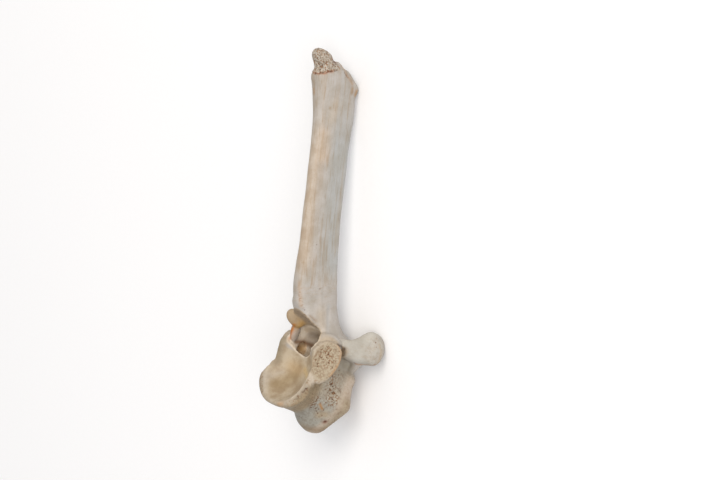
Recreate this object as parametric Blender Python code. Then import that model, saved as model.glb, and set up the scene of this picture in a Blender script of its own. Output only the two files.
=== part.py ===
"""One elk thoracic vertebra, life size, lying on its cranial side as a cleaned bone comes to rest.

The bone is modelled in its own anatomical frame, in millimetres: X to the animal's right, Y cranial
(towards the head), Z dorsal, with the origin at the middle of the centrum. Every form is a closed
piece swept from a few named stations. The pieces are joined, the canal, the cup and the facets are
cut, and the whole is fused and smoothed into one closed surface. At the end the bone is turned from
the anatomical frame to the way it rests, with +Z up and the origin under the middle of its box.
"""

import math

import bmesh
import bpy
import numpy as np
from mathutils import Matrix, Vector

MM = 0.001

# Driving dimensions in millimetres.
CENTRUM_BACK = -18.5
CENTRUM_FRONT = 20.5
SPINE_LEAN = math.radians(23.5)
SPINE_FOOT = (0.0, -21.0, 50.0)
PAD_TURN = math.radians(30.5)

# How far the sagittal plane's long axis is tipped where the bone lies on its two wings and the
# cranial corner of the spine's tip.
REST_TIP = math.radians(28.3)

# Fineness of the surface: points in a ring, and the size of the fused mesh's facets.
RING_POINTS = 40
FUSE_SIZE = 1.1
SMOOTH_ROUNDS = 7
TRIANGLE_LIMIT = 10000


def curve_through(stations, count):
    """Rows on a smooth curve through the stations, evenly spread, by Catmull-Rom."""
    keys = np.array(stations, float)
    padded = np.vstack([2 * keys[0] - keys[1], keys, 2 * keys[-1] - keys[-2]])
    rows = []
    for place in np.linspace(0, len(keys) - 1, count):
        i = min(int(place), len(keys) - 2)
        t = place - i
        a, b, c, d = padded[i : i + 4]
        rows.append(0.5 * (2 * b + (c - a) * t + (2 * a - 5 * b + 4 * c - d) * t**2
                           + (3 * b - 3 * c + d - a) * t**3))
    return rows


def mesh_object(name, points, faces):
    """A mesh object from points in millimetres, with its faces pointing out."""
    mesh = bpy.data.meshes.new(name)
    mesh.from_pydata([Vector(p) * MM for p in points], [], faces)
    tidy = bmesh.new()
    tidy.from_mesh(mesh)
    bmesh.ops.recalc_face_normals(tidy, faces=tidy.faces)
    tidy.to_mesh(mesh)
    tidy.free()
    piece = bpy.data.objects.new(name, mesh)
    bpy.context.scene.collection.objects.link(piece)
    return piece


def loft(name, rings):
    """A closed body through rings of equal length, with a fan of faces on each end."""
    count = len(rings[0])
    points = [p for ring in rings for p in ring]
    faces = []
    for r in range(len(rings) - 1):
        for i in range(count):
            j = (i + 1) % count
            faces.append((r * count + i, r * count + j, (r + 1) * count + j, (r + 1) * count + i))
    for r, ring in ((0, rings[0]), (len(rings) - 1, rings[-1])):
        points.append(np.mean(ring, axis=0))
        for i in range(count):
            faces.append((r * count + i, r * count + (i + 1) % count, len(points) - 1))
    return mesh_object(name, points, faces)


def oval(centre, across, up, half_across, half_up, squareness=2.0):
    """A ring of points on a superellipse."""
    ring = []
    for i in range(RING_POINTS):
        angle = 2 * math.pi * i / RING_POINTS
        c, s = math.cos(angle), math.sin(angle)
        x = math.copysign(abs(c) ** (2 / squareness), c)
        y = math.copysign(abs(s) ** (2 / squareness), s)
        ring.append(np.array(centre) + np.array(across) * half_across * x
                    + np.array(up) * half_up * y)
    return ring


def sections(name, stations, count):
    """A body through cross-sections at stations along Y.

    Each station is its Y and one half of the outline there, as points (x, z) from the middle of the
    bottom to the middle of the top. The other half is its mirror image.
    """
    rows = curve_through([[y] + [value for point in half for value in point] for y, half in stations],
                         count)
    rings = []
    for row in rows:
        half = row[1:].reshape(-1, 2)
        whole = np.vstack([half, (half * (-1, 1))[-2:0:-1]])
        closed = curve_through(np.vstack([whole[-1:], whole, whole[:2]]), 3 * (len(whole) + 2) + 1)
        rings.append([np.array((x, row[0], z)) for x, z in closed[3:-6]])
    return loft(name, rings)


RIGHT = np.array((1.0, 0.0, 0.0))
CRANIAL = np.array((0.0, 1.0, 0.0))
DORSAL = np.array((0.0, 0.0, 1.0))


def ellipsoid(name, centre, half_sizes, axes=(RIGHT, CRANIAL, DORSAL), rings=24):
    """An ellipsoid with its half sizes along three axes."""
    stack = []
    for i in range(1, rings):
        angle = math.pi * i / rings
        middle = np.array(centre) - axes[2] * half_sizes[2] * math.cos(angle)
        stack.append(oval(middle, axes[0], axes[1], half_sizes[0] * math.sin(angle),
                          half_sizes[1] * math.sin(angle)))
    return loft(name, stack)


def centrum():
    """The vertebral body: a flared caudal rim, a waist, then a keel and a broad cranial end."""
    stations = (
        (CENTRUM_BACK - 0.8, ((0, -19.2), (8, -18.7), (16, -15.2), (22.6, -8.6), (23.2, -1.8),
                              (17.8, 5.4), (15.6, 11.4), (15.0, 18), (13.8, 24), (8, 25), (0, 25))),
        (CENTRUM_BACK + 1.5, ((0, -20.0), (8.5, -19.4), (16.9, -15.9), (23.8, -9), (24.4, -1.8),
                              (18.2, 5.4), (16.4, 11.4), (16.2, 18), (15.2, 25), (8, 26), (0, 26))),
        (-13, ((0, -19.2), (7.5, -18.4), (14.5, -14.6), (19.6, -8.6), (20.4, -1.6),
               (18.6, 5), (17.2, 11), (16.2, 18), (14.6, 25), (8, 26), (0, 26))),
        (-7, ((0, -18.7), (6.5, -17.2), (12.0, -13.0), (15.5, -8.0), (16.0, -2.0),
              (15.5, 4), (15.5, 10), (15, 17), (13.8, 25), (8, 26), (0, 26))),
        (-1.0, ((0, -18.5), (5.0, -17.0), (10.6, -12.8), (14.2, -7.8), (15.0, -2.0),
                (14.8, 4), (14.8, 10), (14.4, 17), (13.2, 25), (8, 26), (0, 26))),
        (2.6, ((0, -19.2), (3.8, -18.2), (9.6, -14.2), (14.2, -8.4), (15.2, -2.0),
             (14.8, 4), (14.6, 10), (14.2, 17), (12.8, 25), (8, 26), (0, 26))),
        (7.5, ((0, -23.7), (5.0, -21.9), (10.8, -16.5), (15.4, -9.2), (16.6, -2.6),
               (15.5, 4), (15.2, 10), (14.6, 16), (12.4, 24), (8, 25), (0, 25))),
        (13, ((0, -25.5), (6.0, -23.7), (12.2, -17.6), (18.0, -10.0), (20.2, -3.4),
              (18.2, 4), (17.8, 9.6), (18.0, 14.8), (15.2, 20.8), (8, 22.5), (0, 22.5))),
        (CENTRUM_FRONT - 2, ((0, -25.0), (6.0, -23.2), (11.2, -17.6), (17.3, -10.6), (22.6, -3.8),
                             (19.6, 4), (17.6, 9.6), (18.0, 14.4), (13.6, 18.8), (6.5, 19.8), (0, 19.8))),
        (CENTRUM_FRONT + 0.5, ((0, -23.6), (5.4, -22.2), (10.6, -16.8), (16.8, -10.0), (21.4, -3.6),
                               (17.8, 4), (15.6, 9.5), (15.2, 13.2), (10.6, 16.4), (5.4, 17.2),
                               (0, 17.2))),
    )
    return sections("centrum", stations, 44)


def cranial_head():
    """The low dome on the cranial end of the body."""
    return ellipsoid("cranial_head", (0, CENTRUM_FRONT - 6, -3.5), (16.5, 13.0, 16.0))


def arch():
    """The pedicles and the roof as one block, which leans back into the spine's foot."""
    # z, caudal edge, cranial edge, half width, squareness
    stations = (
        (4, -17, 15, 14, 3.0),
        (14, -18, 15, 15.5, 3.2),
        (20, -18.5, 14.5, 15.0, 3.4),
        (26, -17.5, 14, 14.6, 3.4),
        (31, -17.5, 13, 13.2, 3.4),
        (34, -19.8, 11.5, 11.6, 3.4),
        (37, -27.8, 8.5, 9.8, 3.4),
        (40, -33.4, 4.6, 8.0, 3.2),
        (44, -37.0, 0.8, 6.6, 2.8),
        (52, -38.2, -5, 5.4, 2.4),
        (60, -41.5, -10, 5.0, 2.2),
    )
    rings = []
    for z, back, front, half, squareness in curve_through(stations, 40):
        rings.append(oval((0, (back + front) / 2, z), RIGHT, CRANIAL, half, (front - back) / 2,
                          squareness))
    return loft("arch", rings)


def spine_point(along, offset, side):
    """A point of the spine: along its lean from the foot, offset cranially, and to one side."""
    lean, turn = math.sin(SPINE_LEAN), math.cos(SPINE_LEAN)
    return np.array(SPINE_FOOT) + np.array((side, offset * turn - along * lean,
                                            along * turn + offset * lean))


def blade_thickness(s):
    """Share of the blade's half thickness at s, from 0 at its caudal edge to 1 at its cranial one."""
    caudal_round = math.sqrt(max(0.0, 1 - (1 - min(s / 0.16, 1)) ** 2.6))
    cranial_thin = 1 - 0.60 * max(0.0, (s - 0.35) / 0.65) ** 1.2
    cranial_round = math.sqrt(max(0.0, 1 - max(0.0, (s - 0.93) / 0.07) ** 2))
    return caudal_round * cranial_thin * cranial_round


def spine():
    """The long spinous process: a flat blade, thickest behind, which widens to a slanted tip."""
    # caudal edge: along, offset; cranial edge: along, offset; half thickness
    stations = (
        (-12, -14.0, -12, 14.0, 6.2),
        (-2, -15.5, -2, 15.6, 6.0),
        (8, -17.3, 8, 14.6, 5.4),
        (20, -17.1, 20, 13.6, 4.7),
        (36, -16.0, 36, 12.9, 4.2),
        (54, -15.7, 54, 12.6, 4.0),
        (76, -14.9, 76, 13.4, 4.1),
        (92, -14.5, 92, 13.6, 4.3),
        (104, -14.2, 103, 14.6, 4.6),
        (114, -14.5, 112, 15.2, 5.0),
        (123, -15.4, 118.5, 15.2, 5.6),
        (130, -16.4, 124.2, 14.7, 6.1),
        (135.5, -17.8, 129.6, 16.9, 6.4),
        (138.8, -17.6, 133.6, 14.4, 6.4),
        (141.4, -15.9, 137.2, 11.0, 6.1),
        (144.5, -16.6, 141.0, 7.0, 5.9),
        (148.0, -18.4, 143.6, 0.6, 5.4),
        (151.2, -18.9, 146.8, -4.0, 4.6),
        (153.0, -17.8, 150.6, -7.2, 3.4),
        (153.8, -15.8, 152.4, -10.6, 1.6),
    )
    rings = []
    half_count = RING_POINTS // 2
    for back_along, back, front_along, front, half in curve_through(stations, 80):
        ring = []
        for i in range(2 * half_count):
            share = 0.5 - 0.5 * math.cos(math.pi * i / half_count)
            side = 1 if i <= half_count else -1
            ring.append(spine_point(back_along + (front_along - back_along) * share,
                                    back + (front - back) * share,
                                    side * half * blade_thickness(share)))
        rings.append(ring)
    return loft("spine", rings)


def cap_step():
    """The raised lip beyond the notch in the tip's slanted edge."""
    slant = math.radians(-46)
    along_edge = spine_point(math.sin(slant), math.cos(slant), 0) - np.array(SPINE_FOOT)
    return ellipsoid("cap_step", spine_point(142.8, 0.7, 0), (2.4, 4.8, 2.2),
                     (RIGHT, along_edge, np.cross(RIGHT, along_edge)))


def transverse_process(side):
    """The wing to one side: a neck that dips, then a club with a raised upper corner."""
    # x, y, bottom, top, half thickness
    stations = (
        (6, 2.0, 22, 38.6, 8.4),
        (11, 3.2, 22.4, 35.5, 7.6),
        (15.5, 4.6, 22.8, 35.0, 6.6),
        (19, 5.6, 22.8, 36.2, 5.8),
        (23, 6.8, 23.0, 39.2, 5.8),
        (26.5, 7.8, 23.3, 43.2, 6.1),
        (29.5, 8.7, 24.0, 45.0, 6.4),
        (33.3, 9.6, 24.9, 43.4, 6.2),
        (36.0, 10.2, 25.8, 40.2, 5.4),
        (37.6, 10.4, 28.0, 37.2, 4.2),
        (38.5, 10.6, 31.0, 35.2, 2.0),
    )
    rings = []
    for x, y, bottom, top, half in curve_through(stations, 34):
        rings.append(oval((side * x, y, (bottom + top) / 2), CRANIAL, DORSAL, half,
                          (top - bottom) / 2, 3.0))
    return loft("transverse_process", rings)


def turned_axes(turn, tilt):
    """Three axes turned about Z, then tilted about the turned X, in degrees."""
    frame = Matrix.Rotation(math.radians(turn), 3, "Z") @ Matrix.Rotation(math.radians(tilt), 3, "X")
    return [np.array(frame.col[i]) for i in range(3)]


def costal_pad(side):
    """The raised pad that carries the rib's caudal facet, on the body's caudal upper corner."""
    # outline of the facet: distance along it from its medial edge, height
    outline = ((-1.0, 19.5), (1.2, 25), (4.8, 28.2), (9.3, 29), (13.2, 28), (16.4, 25.4),
               (17.8, 20.8), (17.8, 15.6), (16.6, 10.5), (14.4, 5.2), (10.8, 1.4), (7, 1.8),
               (4.2, 6.0), (1.1, 12.8))
    start = np.array((17.0, -20.1, 0.0))
    run = np.array((math.sin(PAD_TURN), math.cos(PAD_TURN), 0.0))
    outward = np.array((run[1], -run[0], 0.0))
    middle = np.mean(outline, axis=0)
    # depth below the facet, share of the outline's size
    stations = ((-12, 0.5), (-8, 0.74), (-4, 0.92), (-1.2, 1.0), (0.2, 0.96), (0.9, 0.86))
    rings = []
    for depth, share in curve_through(stations, 12):
        ring = []
        for along, height in outline:
            along, height = middle + (np.array((along, height)) - middle) * share
            point = start + run * along + outward * depth + DORSAL * height
            ring.append(point * (side, 1, 1))
        rings.append(ring)
    return loft("costal_pad", rings)


def pad_shoulder(side):
    """The slope that fills the corner between the arch's wall and the top of the rib's pad."""
    return ellipsoid("pad_shoulder", (side * 13.4, -9.4, 26.4), (6.6, 9.6, 7.4), turned_axes(-side * 30, 0))


def pad_foot(side):
    """The smooth flank where the rib's pad runs down into the rim of the cup."""
    return ellipsoid("pad_foot", (side * 18.5, -15.4, 3.0), (3.4, 4.2, 4.6), turned_axes(-side * 20, 0))


def wall_root(side):
    """The swelling of the arch's wall under the wing, above the body's cranial corner."""
    return ellipsoid("wall_root", (side * 13.4, 9.6, 22.4), (3.8, 6.4, 5.0))


def costal_hollow(side):
    """The shallow dish of the rib's facet."""
    centre = np.array((17.0, -20.1, 16.0)) + 9.2 * np.array((math.sin(PAD_TURN), math.cos(PAD_TURN), 0))
    outward = np.array((math.cos(PAD_TURN), -math.sin(PAD_TURN), 0))
    centre = (centre + outward * 9.3) * (side, 1, 1)
    return ellipsoid("costal_hollow", centre, (10.0, 15.0, 22.0), turned_axes(-side * 31, 0))


def left_lip():
    """The caudal articular lip under the spine's foot on the left, which is whole."""
    return ellipsoid("left_lip", (-7.8, -23.8, 34.6), (2.9, 7.3, 5.0), turned_axes(-14, -15))


def right_lip():
    """The lip on the right, which is worn short, so that the canal's flare runs through it."""
    return ellipsoid("right_lip", (5.6, -22.5, 34.2), (3.4, 7.2, 3.8), turned_axes(14, -24))


def pedicle_crest():
    """The sharp caudal edge of the arch's left wall, which runs up to the lip on that side."""
    return ellipsoid("pedicle_crest", (-10.3, -18.3, 28.4), (2.3, 3.4, 7.4), turned_axes(0, 14))


def cranial_articular(side):
    """One of the pair of lips on the front edge of the roof."""
    return ellipsoid("cranial_articular", (side * 8.6, 11.6, 34.2), (5.0, 5.6, 3.0),
                     turned_axes(-side * 10, 8))


def canal():
    """The hole for the spinal cord, from end to end of the arch, with a gabled flare behind."""
    stations = (
        (-46, ((0, 13), (6, 14), (14, 17), (20, 25), (20, 33), (11, 37.5), (0, 38.5))),
        (-34, ((0, 14), (6, 15), (13.4, 18), (18.5, 25), (18, 31.5), (9, 36.6), (0, 38.2))),
        (-27, ((0, 15), (5.4, 15.8), (12, 18), (16.6, 24), (16, 30.6), (8.4, 35.2), (0, 36.8))),
        (-21, ((0, 15.2), (4.8, 16.2), (10, 18), (14.2, 23), (14.2, 29), (8.6, 33.4), (0, 35.2))),
        (-17, ((0, 15.2), (4.4, 16.2), (8.6, 18), (12.2, 22), (12.8, 28), (8.8, 32.8), (0, 34.2))),
        (-12, ((0, 15.2), (4.2, 16.2), (7.6, 18), (10.4, 21.6), (10.8, 27), (8.4, 31.8), (0, 33.4))),
        (0, ((0, 15.2), (4.2, 16.2), (7.4, 17.8), (10, 21.4), (10.4, 26.6), (8.4, 31.2), (0, 33.2))),
        (14, ((0, 16), (4.4, 16.8), (7.6, 18.2), (10.4, 21.8), (10.8, 27), (8.8, 31.6), (0, 34))),
        (34, ((0, 16), (5, 17), (9, 18.6), (12.4, 23), (12.6, 29), (10, 35), (0, 39))),
    )
    return sections("canal", stations, 36)


def cup():
    """The hollow of the caudal end, which takes the head of the next vertebra."""
    return ellipsoid("cup", (0, CENTRUM_BACK - 16.0, 3.0), (25.0, 25.5, 26.0))


def worn_rim():
    """The bevel that wear has left on the right lower part of the caudal rim."""
    slope = math.radians(-57)
    along = np.array((math.cos(slope), 0, -math.sin(slope)))
    outward = np.array((-math.sin(slope), 0, -math.cos(slope)))
    centre = np.array((17.2, CENTRUM_BACK - 0.5, -8.0)) + outward * 8.0
    return ellipsoid("worn_rim", centre, (17.0, 8.0, 8.0), (along, CRANIAL, outward))


def nerve_hole(side):
    """The bent hole for the spinal nerve, which rises through the wall ahead of the rib's pad."""
    # x, y, z, radius; the left one bends back more sharply
    stations = (
        (5.5, -12.0, 17.5, 2.6),
        (9.5, -8.6, 20.0, 2.6),
        (12.5, -4.2, 23.2, 2.6),
        (15.4, -0.8, 25.4, 2.7),
        (19.0, -0.6, 26.2, 3.0),
        (25.0, -3.4, 26.8, 3.2),
    )
    if side < 0:
        stations = (
            (5.5, -12.0, 17.5, 2.6),
            (9.5, -8.8, 19.6, 2.8),
            (12.4, -7.4, 21.8, 2.6),
            (15.4, -8.0, 23.4, 2.5),
            (18.6, -10.6, 24.4, 2.6),
            (23.5, -15.0, 25.2, 2.8),
        )
    rings = []
    run = np.array((0.77, 0.54, 0.34))
    across = np.cross(run, DORSAL)
    across /= np.linalg.norm(across)
    up = np.cross(across, run)
    for x, y, z, radius in curve_through(stations, 20):
        ring = oval((x, y, z), across, up, radius, radius)
        rings.append([point * (side, 1, 1) for point in ring])
    return loft("nerve_hole", rings)


def wing_web(side):
    """The thin web from the wing's underside down to the corner of the cranial rib facet."""
    start, end = np.array((14.0, 14.0, 18.0)), np.array((28.0, 8.5, 28.0))
    run = (end - start) / np.linalg.norm(end - start)
    across = np.cross(run, DORSAL)
    across /= np.linalg.norm(across)
    up = np.cross(across, run)
    rings = []
    for share in np.linspace(0, 1, 10):
        ring = oval(start + (end - start) * share, across, up, 2.6, 4.6 - 0.6 * share)
        rings.append([point * (side, 1, 1) for point in ring])
    return loft("wing_web", rings)


def join_pieces(pieces, cutters, late):
    """Fuses the pieces into one closed surface, takes the cutters out of it, then adds the late ones."""
    body = pieces[0]
    for others, operation in ((pieces[1:], "UNION"), (cutters, "DIFFERENCE"), (late, "UNION")):
        group = bpy.data.collections.new(operation.lower())
        for piece in others:
            group.objects.link(piece)
        fuse = body.modifiers.new(operation.lower(), "BOOLEAN")
        fuse.operation = operation
        fuse.operand_type = "COLLECTION"
        fuse.collection = group
        fuse.solver = "EXACT"
        apply_modifiers(body)
        for piece in others:
            bpy.data.objects.remove(piece)
        bpy.data.collections.remove(group)
    return body


def apply_modifiers(piece):
    """Replaces the mesh with the one its modifiers make."""
    depsgraph = bpy.context.evaluated_depsgraph_get()
    made = bpy.data.meshes.new_from_object(piece.evaluated_get(depsgraph))
    piece.modifiers.clear()
    piece.data = made


def keep_largest_shell(piece):
    """Drops loose scraps and sealed hollows, so that one closed surface is left."""
    mesh = bmesh.new()
    mesh.from_mesh(piece.data)
    left = set(mesh.faces)
    shells = []
    while left:
        stack = [left.pop()]
        shell = []
        while stack:
            face = stack.pop()
            shell.append(face)
            for edge in face.edges:
                for other in edge.link_faces:
                    if other in left:
                        left.remove(other)
                        stack.append(other)
        shells.append(shell)
    shells.sort(key=len)
    for shell in shells[:-1]:
        bmesh.ops.delete(mesh, geom=shell, context="FACES")
    mesh.to_mesh(piece.data)
    mesh.free()


def smooth_bone(piece):
    """Turns the joined pieces into even facets and rounds the creases between them."""
    remesh = piece.modifiers.new("fuse", "REMESH")
    remesh.mode = "VOXEL"
    remesh.voxel_size = FUSE_SIZE * MM
    soften = piece.modifiers.new("soften", "SMOOTH")
    soften.factor = 0.5
    soften.iterations = SMOOTH_ROUNDS
    apply_modifiers(piece)
    keep_largest_shell(piece)
    triangles = sum(len(face.vertices) - 2 for face in piece.data.polygons)
    thin = piece.modifiers.new("thin", "DECIMATE")
    thin.ratio = TRIANGLE_LIMIT / triangles
    apply_modifiers(piece)


def bone_material():
    """Cleaned, sun-bleached bone: pale cream, dull, with a slight warmth."""
    material = bpy.data.materials.new("bleached_bone")
    material.use_nodes = True
    shader = material.node_tree.nodes["Principled BSDF"]
    shader.inputs["Base Color"].default_value = (0.60, 0.52, 0.43, 1)
    shader.inputs["Roughness"].default_value = 0.62
    shader.inputs["Metallic"].default_value = 0.0
    return material


def vertebra():
    """The whole bone, fused from its pieces in the anatomical frame."""
    pieces = [centrum(), cranial_head(), arch(), right_lip(), spine(), cap_step()]
    cutters = [canal(), cup(), worn_rim()]
    for side in (1, -1):
        pieces += [transverse_process(side), wing_web(side), costal_pad(side), pad_shoulder(side)]
        pieces += [pad_foot(side), wall_root(side), cranial_articular(side)]
        cutters += [nerve_hole(side), costal_hollow(side)]
    bone = join_pieces(pieces, cutters, [left_lip(), pedicle_crest()])
    bone.name = "vertebra"
    smooth_bone(bone)
    bone.data.shade_smooth()
    bone.data.materials.clear()
    bone.data.materials.append(bone_material())
    return bone


def lay_down(bone):
    """Turns the bone to the way it rests: spine towards +X, right side to -Y, cranial side down."""
    cos, sin = math.cos(REST_TIP), math.sin(REST_TIP)
    turn = Matrix(((0, -sin, cos), (-1, 0, 0), (0, -cos, -sin)))
    bone.data.transform(turn.to_4x4())
    points = np.array([vertex.co for vertex in bone.data.vertices])
    low, high = points.min(axis=0), points.max(axis=0)
    middle = Vector(((low[0] + high[0]) / 2, (low[1] + high[1]) / 2, low[2]))
    bone.data.transform(Matrix.Translation(-middle))


def main():
    """Clears the file, builds the bone and lays it on the floor."""
    for item in list(bpy.data.objects):
        bpy.data.objects.remove(item)
    lay_down(vertebra())


main()
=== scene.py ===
"""The looks of one elk thoracic vertebra: an old, cleaned bone that lies on a pale floor.

Everything is made in the bone's own frame, in millimetres: X to the animal's right, Y towards the
head, Z up the spine, with the origin at the middle of the body. The bone is fused from the same
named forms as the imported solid, but finer. Its pores, sutures, vessel holes and grain are then sunk
in its surface, and last of all it is turned to the way it rests, with +Z up, in metres.
"""

import math

import bmesh
import bpy
import numpy as np
from mathutils import Matrix, Vector
from mathutils.bvhtree import BVHTree


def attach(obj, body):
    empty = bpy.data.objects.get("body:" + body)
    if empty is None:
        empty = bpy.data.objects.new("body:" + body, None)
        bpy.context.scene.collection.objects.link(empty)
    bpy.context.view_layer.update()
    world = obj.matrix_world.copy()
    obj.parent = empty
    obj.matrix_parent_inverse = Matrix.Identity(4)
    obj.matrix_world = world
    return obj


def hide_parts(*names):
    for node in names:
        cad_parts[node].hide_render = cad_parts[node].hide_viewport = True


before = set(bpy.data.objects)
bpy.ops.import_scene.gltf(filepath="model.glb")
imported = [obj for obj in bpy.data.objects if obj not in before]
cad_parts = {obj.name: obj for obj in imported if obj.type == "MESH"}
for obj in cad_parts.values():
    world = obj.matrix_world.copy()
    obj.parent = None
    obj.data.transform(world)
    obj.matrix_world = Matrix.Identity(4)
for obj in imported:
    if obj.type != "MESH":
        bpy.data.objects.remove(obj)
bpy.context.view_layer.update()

MM = 0.001

RIGHT = np.array((1.0, 0.0, 0.0))
CRANIAL = np.array((0.0, 1.0, 0.0))
DORSAL = np.array((0.0, 0.0, 1.0))

# Driving dimensions in millimetres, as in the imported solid.
CENTRUM_BACK = -18.5
CENTRUM_FRONT = 20.5
SPINE_LEAN = math.radians(23.5)
SPINE_FOOT = np.array((0.0, -21.0, 50.0))

# The rib's facet on the right: where it starts, and the ways along it and out of it.
PAD_TURN = math.radians(30.5)
PAD_START = np.array((17.0, -20.1, 0.0))
PAD_ALONG = np.array((math.sin(PAD_TURN), math.cos(PAD_TURN), 0.0))
PAD_OUT = np.array((math.cos(PAD_TURN), -math.sin(PAD_TURN), 0.0))

# How the bone lies: the tip of its long axis, and where its origin comes to be, in metres.
REST_TIP = math.radians(28.3)
REST_PLACE = Vector((-0.0888139, 0.0, 0.0324909))

# Fineness of the surface: points in a ring, the fused mesh's facets, and how far it is smoothed.
RING_POINTS = 56
FUSE_SIZE = 0.76
SMOOTH_ROUNDS = 6

# How far apart the pores of spongy bone are, in millimetres.
PORE_SPACING = 1.4

# How many times longer than wide the streaks of the spine's grain are.
GRAIN_STRETCH = 14.0

# The stage: the floor's half width, the lamps' distance and aim, and the camera's place in metres; its turn
# in degrees; its lens and sensor in millimetres.
FLOOR_REACH = 6.0
LAMP_DISTANCE = 3.6
LAMP_AIM = Vector((0.0, 0.0, 0.03))
CAMERA_PLACE = (0.197155, -0.961989, 0.761955)
CAMERA_TURN = (-7.027, 51.651, -87.324)
LENS_LENGTH = 100
SENSOR_WIDTH = 36


def curve_through(stations, count):
    """Rows on a smooth curve through the stations, evenly spread, by Catmull-Rom."""
    keys = np.array(stations, float)
    padded = np.vstack([2 * keys[0] - keys[1], keys, 2 * keys[-1] - keys[-2]])
    rows = []
    for place in np.linspace(0, len(keys) - 1, count):
        i = min(int(place), len(keys) - 2)
        t = place - i
        a, b, c, d = padded[i : i + 4]
        rows.append(0.5 * (2 * b + (c - a) * t + (2 * a - 5 * b + 4 * c - d) * t**2
                           + (3 * b - 3 * c + d - a) * t**3))
    return rows


def new_object(name, data):
    """An object of the scene that holds the data."""
    made = bpy.data.objects.new(name, data)
    bpy.context.scene.collection.objects.link(made)
    return made


def mesh_object(name, points, faces):
    """A mesh object from points in millimetres, with its faces pointing out."""
    mesh = bpy.data.meshes.new(name)
    mesh.from_pydata([Vector(p) * MM for p in points], [], faces)
    tidy = bmesh.new()
    tidy.from_mesh(mesh)
    bmesh.ops.recalc_face_normals(tidy, faces=tidy.faces)
    tidy.to_mesh(mesh)
    tidy.free()
    return new_object(name, mesh)


def loft(name, rings):
    """A closed body through rings of equal length, with a fan of faces on each end."""
    count = len(rings[0])
    points = [p for ring in rings for p in ring]
    faces = []
    for r in range(len(rings) - 1):
        for i in range(count):
            j = (i + 1) % count
            faces.append((r * count + i, r * count + j, (r + 1) * count + j, (r + 1) * count + i))
    for r, ring in ((0, rings[0]), (len(rings) - 1, rings[-1])):
        points.append(np.mean(ring, axis=0))
        for i in range(count):
            faces.append((r * count + i, r * count + (i + 1) % count, len(points) - 1))
    return mesh_object(name, points, faces)


def oval(centre, across, up, half_across, half_up, squareness=2.0):
    """A ring of points on a superellipse."""
    ring = []
    for i in range(RING_POINTS):
        angle = 2 * math.pi * i / RING_POINTS
        c, s = math.cos(angle), math.sin(angle)
        x = math.copysign(abs(c) ** (2 / squareness), c)
        y = math.copysign(abs(s) ** (2 / squareness), s)
        ring.append(np.array(centre) + np.array(across) * half_across * x
                    + np.array(up) * half_up * y)
    return ring


def sections(name, stations, count):
    """A body through cross-sections at stations along Y.

    Each station is its Y and one half of the outline there, as points (x, z) from the middle of the
    bottom to the middle of the top. The other half is its mirror image.
    """
    rows = curve_through([[y] + [value for point in half for value in point] for y, half in stations],
                         count)
    rings = []
    for row in rows:
        half = row[1:].reshape(-1, 2)
        whole = np.vstack([half, (half * (-1, 1))[-2:0:-1]])
        closed = curve_through(np.vstack([whole[-1:], whole, whole[:2]]), 3 * (len(whole) + 2) + 1)
        rings.append([np.array((x, row[0], z)) for x, z in closed[3:-6]])
    return loft(name, rings)


def ellipsoid(name, centre, half_sizes, axes=(RIGHT, CRANIAL, DORSAL), rings=24):
    """An ellipsoid with its half sizes along three axes."""
    stack = []
    for i in range(1, rings):
        angle = math.pi * i / rings
        middle = np.array(centre) - axes[2] * half_sizes[2] * math.cos(angle)
        stack.append(oval(middle, axes[0], axes[1], half_sizes[0] * math.sin(angle),
                          half_sizes[1] * math.sin(angle)))
    return loft(name, stack)


def centrum():
    """The vertebral body: a flared caudal rim, a waist, then a keel and a broad cranial end."""
    stations = (
        (CENTRUM_BACK - 0.8, ((0, -19.2), (8, -18.7), (16, -15.2), (22.6, -8.6), (23.2, -1.8),
                              (17.8, 5.4), (15.6, 11.4), (15, 18), (13.8, 24), (8, 25), (0, 25))),
        (CENTRUM_BACK + 1.5, ((0, -20), (8.5, -19.4), (16.9, -15.9), (23.8, -9), (24.4, -1.8),
                              (18.2, 5.4), (16.4, 11.4), (16.2, 18), (15.2, 25), (8, 26), (0, 26))),
        (-13, ((0, -19.2), (7.5, -18.4), (14.5, -14.6), (19.6, -8.6), (20.4, -1.6),
               (18.6, 5), (17.2, 11), (16.2, 18), (14.6, 25), (8, 26), (0, 26))),
        (-7, ((0, -18.7), (6.5, -17.2), (12, -13), (15.5, -8), (16, -2),
              (15.5, 4), (15.5, 10), (15, 17), (13.8, 25), (8, 26), (0, 26))),
        (-1, ((0, -18.5), (5, -17), (10.6, -12.8), (14.2, -7.8), (15, -2),
                (14.8, 4), (14.8, 10), (14.4, 17), (13.2, 25), (8, 26), (0, 26))),
        (2.6, ((0, -19.2), (3.8, -18.2), (9.6, -14.2), (14.2, -8.4), (15.2, -2),
               (14.8, 4), (14.6, 10), (14.2, 17), (12.8, 25), (8, 26), (0, 26))),
        (7.5, ((0, -23.7), (5, -21.9), (10.8, -16.5), (15.4, -9.2), (16.6, -2.6),
               (15.5, 4), (15.2, 10), (14.6, 16), (12.4, 24), (8, 25), (0, 25))),
        (13, ((0, -25.5), (6, -23.7), (12.2, -17.6), (18, -10), (20.2, -3.4),
              (18.2, 4), (17.8, 9.6), (18, 14.8), (15.2, 20.8), (8, 22.5), (0, 22.5))),
        (CENTRUM_FRONT - 2, ((0, -25), (6, -23.2), (11.2, -17.6), (17.3, -10.6), (22.6, -3.8),
                             (19.6, 4), (17.6, 9.6), (18, 14.4), (13.6, 18.8), (6.5, 19.8), (0, 19.8))),
        (CENTRUM_FRONT + 0.5, ((0, -23.6), (5.4, -22.2), (10.6, -16.8), (16.8, -10), (21.4, -3.6),
                               (17.8, 4), (15.6, 9.5), (15.2, 13.2), (10.6, 16.4), (5.4, 17.2),
                               (0, 17.2))),
    )
    return sections("centrum", stations, 44)


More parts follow.
